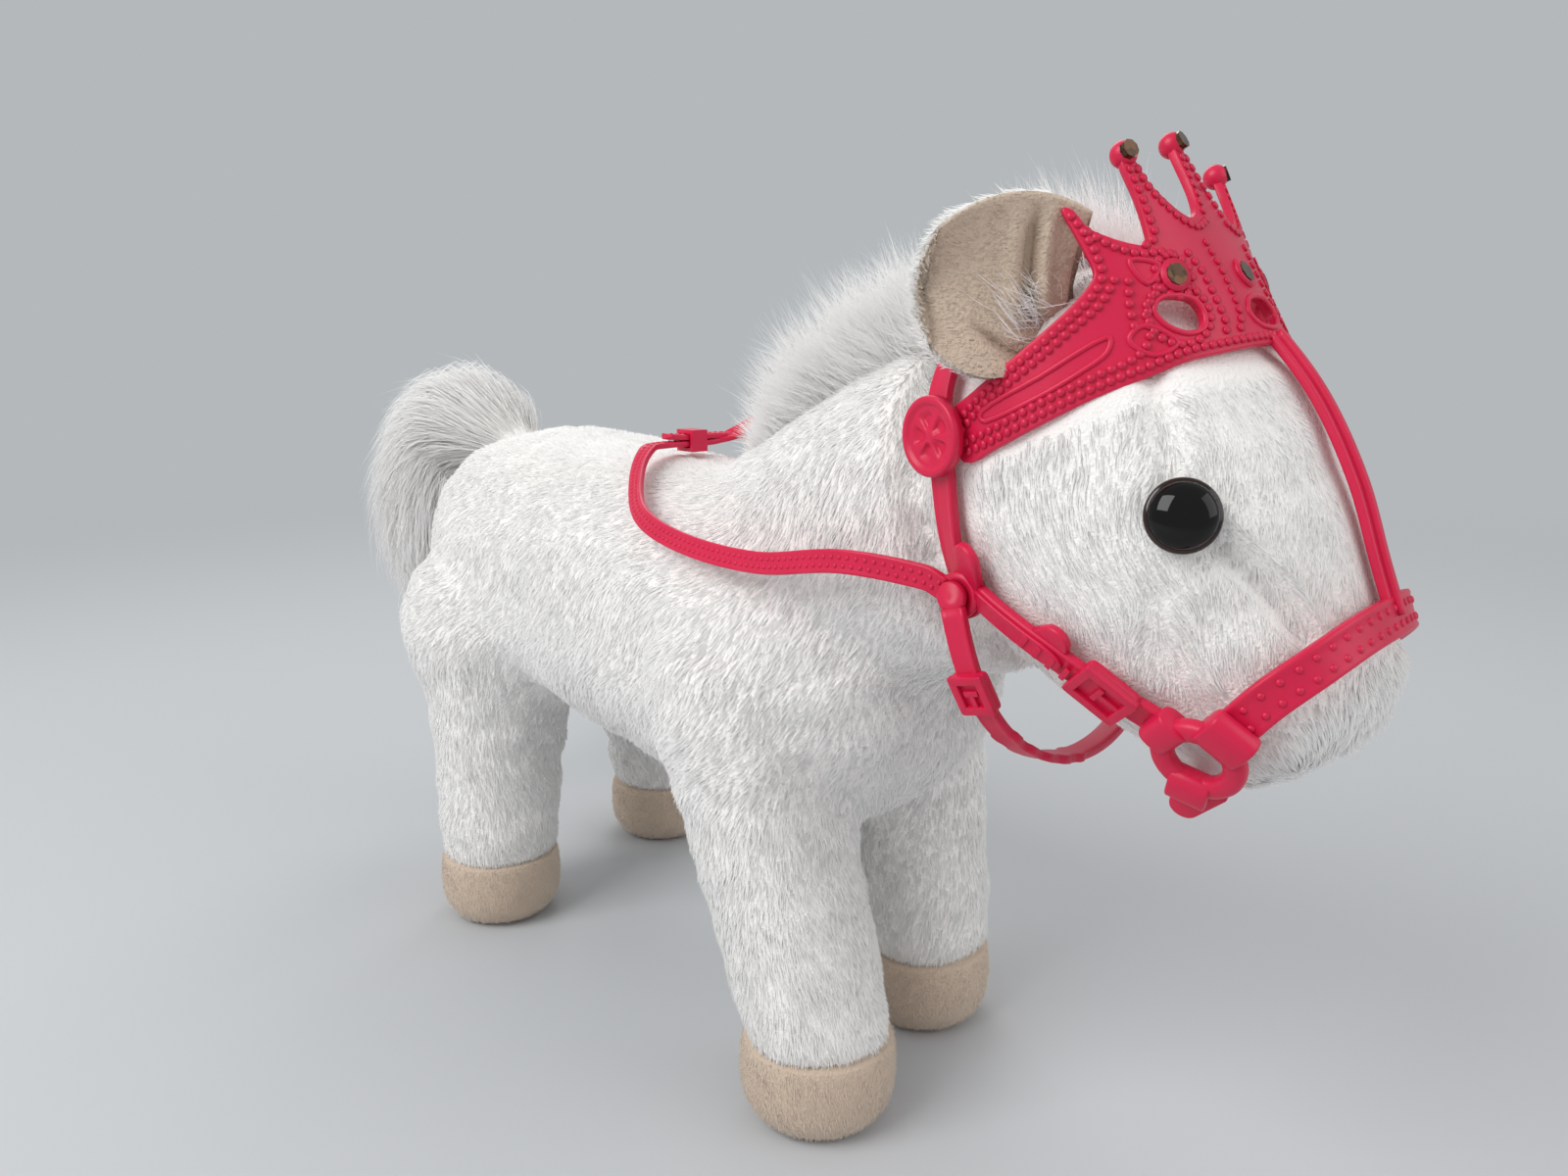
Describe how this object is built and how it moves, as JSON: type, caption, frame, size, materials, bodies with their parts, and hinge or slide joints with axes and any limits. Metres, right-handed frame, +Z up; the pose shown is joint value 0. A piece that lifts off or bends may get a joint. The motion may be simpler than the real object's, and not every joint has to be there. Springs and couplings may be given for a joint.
{
  "type": "plush horse",
  "caption": "Standing stuffed toy horse with nodding head, soft moulded bridle with tiara browband and reins, long mane and tail, belly battery module",
  "frame": {"origin": "on the floor, under the middle of the whole object's box", "axes": "+X towards the nose, +Y to the horse's left, +Z up"},
  "size_m": [0.4198, 0.1376, 0.2514],
  "materials": {
    "plush": "white short-pile plush, 4 to 5 mm nap",
    "velboa": "beige velboa, 1 mm nap",
    "long_fur": "long white faux fur",
    "pink_pvc": "matte moulded soft PVC, hot pink",
    "eye_black": "glossy black safety eye",
    "dark_gem": "faceted dark acrylic stone",
    "white_abs": "moulded white ABS",
    "acetal": "moulded natural acetal",
    "steel": "plated steel",
    "cell_sleeve": "printed-free shrink sleeve of an AA cell",
    "board_green": "solder resist on glass-fibre board",
    "black_plastic": "black moulded plastic and paper cone"
  },
  "bodies": {
    "horse": {"torso": "plush", "neck": "plush", "leg_front_right": "plush", "hoof_front_right": "velboa", "leg_front_left": "plush", "hoof_front_left": "velboa", "leg_rear_right": "plush", "hoof_rear_right": "velboa", "leg_rear_left": "plush", "hoof_rear_left": "velboa", "mane": "long_fur", "neck_post": "white_abs", "pivot_pin": "steel", "gearmotor": "steel", "housing_lower": "white_abs", "housing_upper": "white_abs", "cell_1": "cell_sleeve", "cell_2": "cell_sleeve", "cell_3": "cell_sleeve", "contacts_front": "steel", "contacts_rear": "steel", "circuit_board": "board_green", "speaker": "black_plastic"},
    "head_assembly": {"head": "plush", "tiara": "pink_pvc", "gem_right": "dark_gem", "gem_centre": "dark_gem", "gem_left": "dark_gem", "gem_peak_centre": "dark_gem", "gem_peak_right": "dark_gem", "gem_peak_left": "dark_gem", "rosette_right": "pink_pvc", "rosette_left": "pink_pvc", "headstall": "pink_pvc", "cheek_strap_right": "pink_pvc", "cheek_strap_left": "pink_pvc", "noseband": "pink_pvc", "chin_strap": "pink_pvc", "face_strap": "pink_pvc", "forelock": "long_fur", "eye_right": "eye_black", "eye_left": "eye_black", "head_bracket": "white_abs"},
    "motor_pinion": {"pinion": "acetal"},
    "right_ear": {"ear_right": "plush", "ear_lining_right": "velboa"},
    "left_ear": {"ear_left": "plush", "ear_lining_left": "velboa"},
    "tail_plume": {"tail": "long_fur"},
    "throat": {"throat_strap": "pink_pvc"},
    "reins": {"rein_right": "pink_pvc", "rein_left": "pink_pvc", "rein_keeper": "pink_pvc"},
    "right_bit_ring": {"bit_ring_right": "pink_pvc"},
    "left_bit_ring": {"bit_ring_left": "pink_pvc"},
    "door": {"battery_door": "white_abs"},
    "screw": {"door_screw": "steel"},
    "switch_slider": {"power_switch": "black_plastic"}
  },
  "joints": [
    {"name": "head_nod", "type": "hinge", "parent": "horse", "child": "head_assembly", "pos_m": [0.13001, -0.00125, 0.166], "axis": [0, 1, 0], "range_deg": [-8, 12]},
    {"name": "nod_pinion", "type": "hinge", "parent": "horse", "child": "motor_pinion", "pos_m": [0.10223, -0.00125, 0.15466], "axis": [0, 1, 0], "range_deg": [-40, 27]},
    {"name": "ear_right_flop", "type": "hinge", "parent": "head_assembly", "child": "right_ear", "pos_m": [0.15781, -0.02663, 0.218], "axis": [0.0029, 0.036, 0.9993], "range_deg": [-8, 8], "stiffness_Nm_per_rad": 0.02},
    {"name": "ear_left_flop", "type": "hinge", "parent": "head_assembly", "child": "left_ear", "pos_m": [0.14974, 0.03081, 0.218], "axis": [-0.0127, 0.0338, -0.9993], "range_deg": [-8, 8], "stiffness_Nm_per_rad": 0.02},
    {"name": "tail_wag", "type": "hinge", "parent": "horse", "child": "tail_plume", "pos_m": [-0.12399, -0.00125, 0.17], "axis": [0, 0, 1], "range_deg": [-20, 20], "stiffness_Nm_per_rad": 0.05},
    {"name": "throat_strap_swing", "type": "hinge", "parent": "head_assembly", "child": "throat", "pos_m": [0.13296, -0.00083, 0.15681], "axis": [-0.1392, 0.9903, 0], "range_deg": [-10, 10], "stiffness_Nm_per_rad": 0.03},
    {"name": "rein_pivot", "type": "hinge", "parent": "head_assembly", "child": "reins", "pos_m": [0.13296, -0.00083, 0.15681], "axis": [-0.1392, 0.9903, 0], "range_deg": [-12.5, 8.5]},
    {"name": "bit_ring_right_turn", "type": "hinge", "parent": "head_assembly", "child": "right_bit_ring", "pos_m": [0.18822, -0.02635, 0.13124], "axis": [0.1456, -0.8871, -0.4381], "range_deg": [-45, 45]},
    {"name": "bit_ring_left_turn", "type": "hinge", "parent": "head_assembly", "child": "left_bit_ring", "pos_m": [0.17905, 0.03893, 0.13124], "axis": [-0.1045, 0.8928, -0.4381], "range_deg": [-45, 45]},
    {"name": "battery_door_open", "type": "hinge", "parent": "horse", "child": "door", "pos_m": [-0.01299, -0.02365, 0.093], "axis": [-1, 0, 0], "range_deg": [0, 90]},
    {"name": "door_screw_turn", "type": "hinge", "parent": "door", "child": "screw", "pos_m": [-0.01299, 0.02595, 0.092], "axis": [0, 0, 1], "range_deg": [0, 90]},
    {"name": "power_switch_slide", "type": "slide", "parent": "horse", "child": "switch_slider", "axis": [0, 1, 0], "range_m": [0, 0.003]}
  ],
  "couplings": [
    {"joint": "nod_pinion", "follows": "head_nod", "ratio": -3.2857},
    {"joint": "rein_pivot", "follows": "head_nod", "ratio": -1}
  ]
}
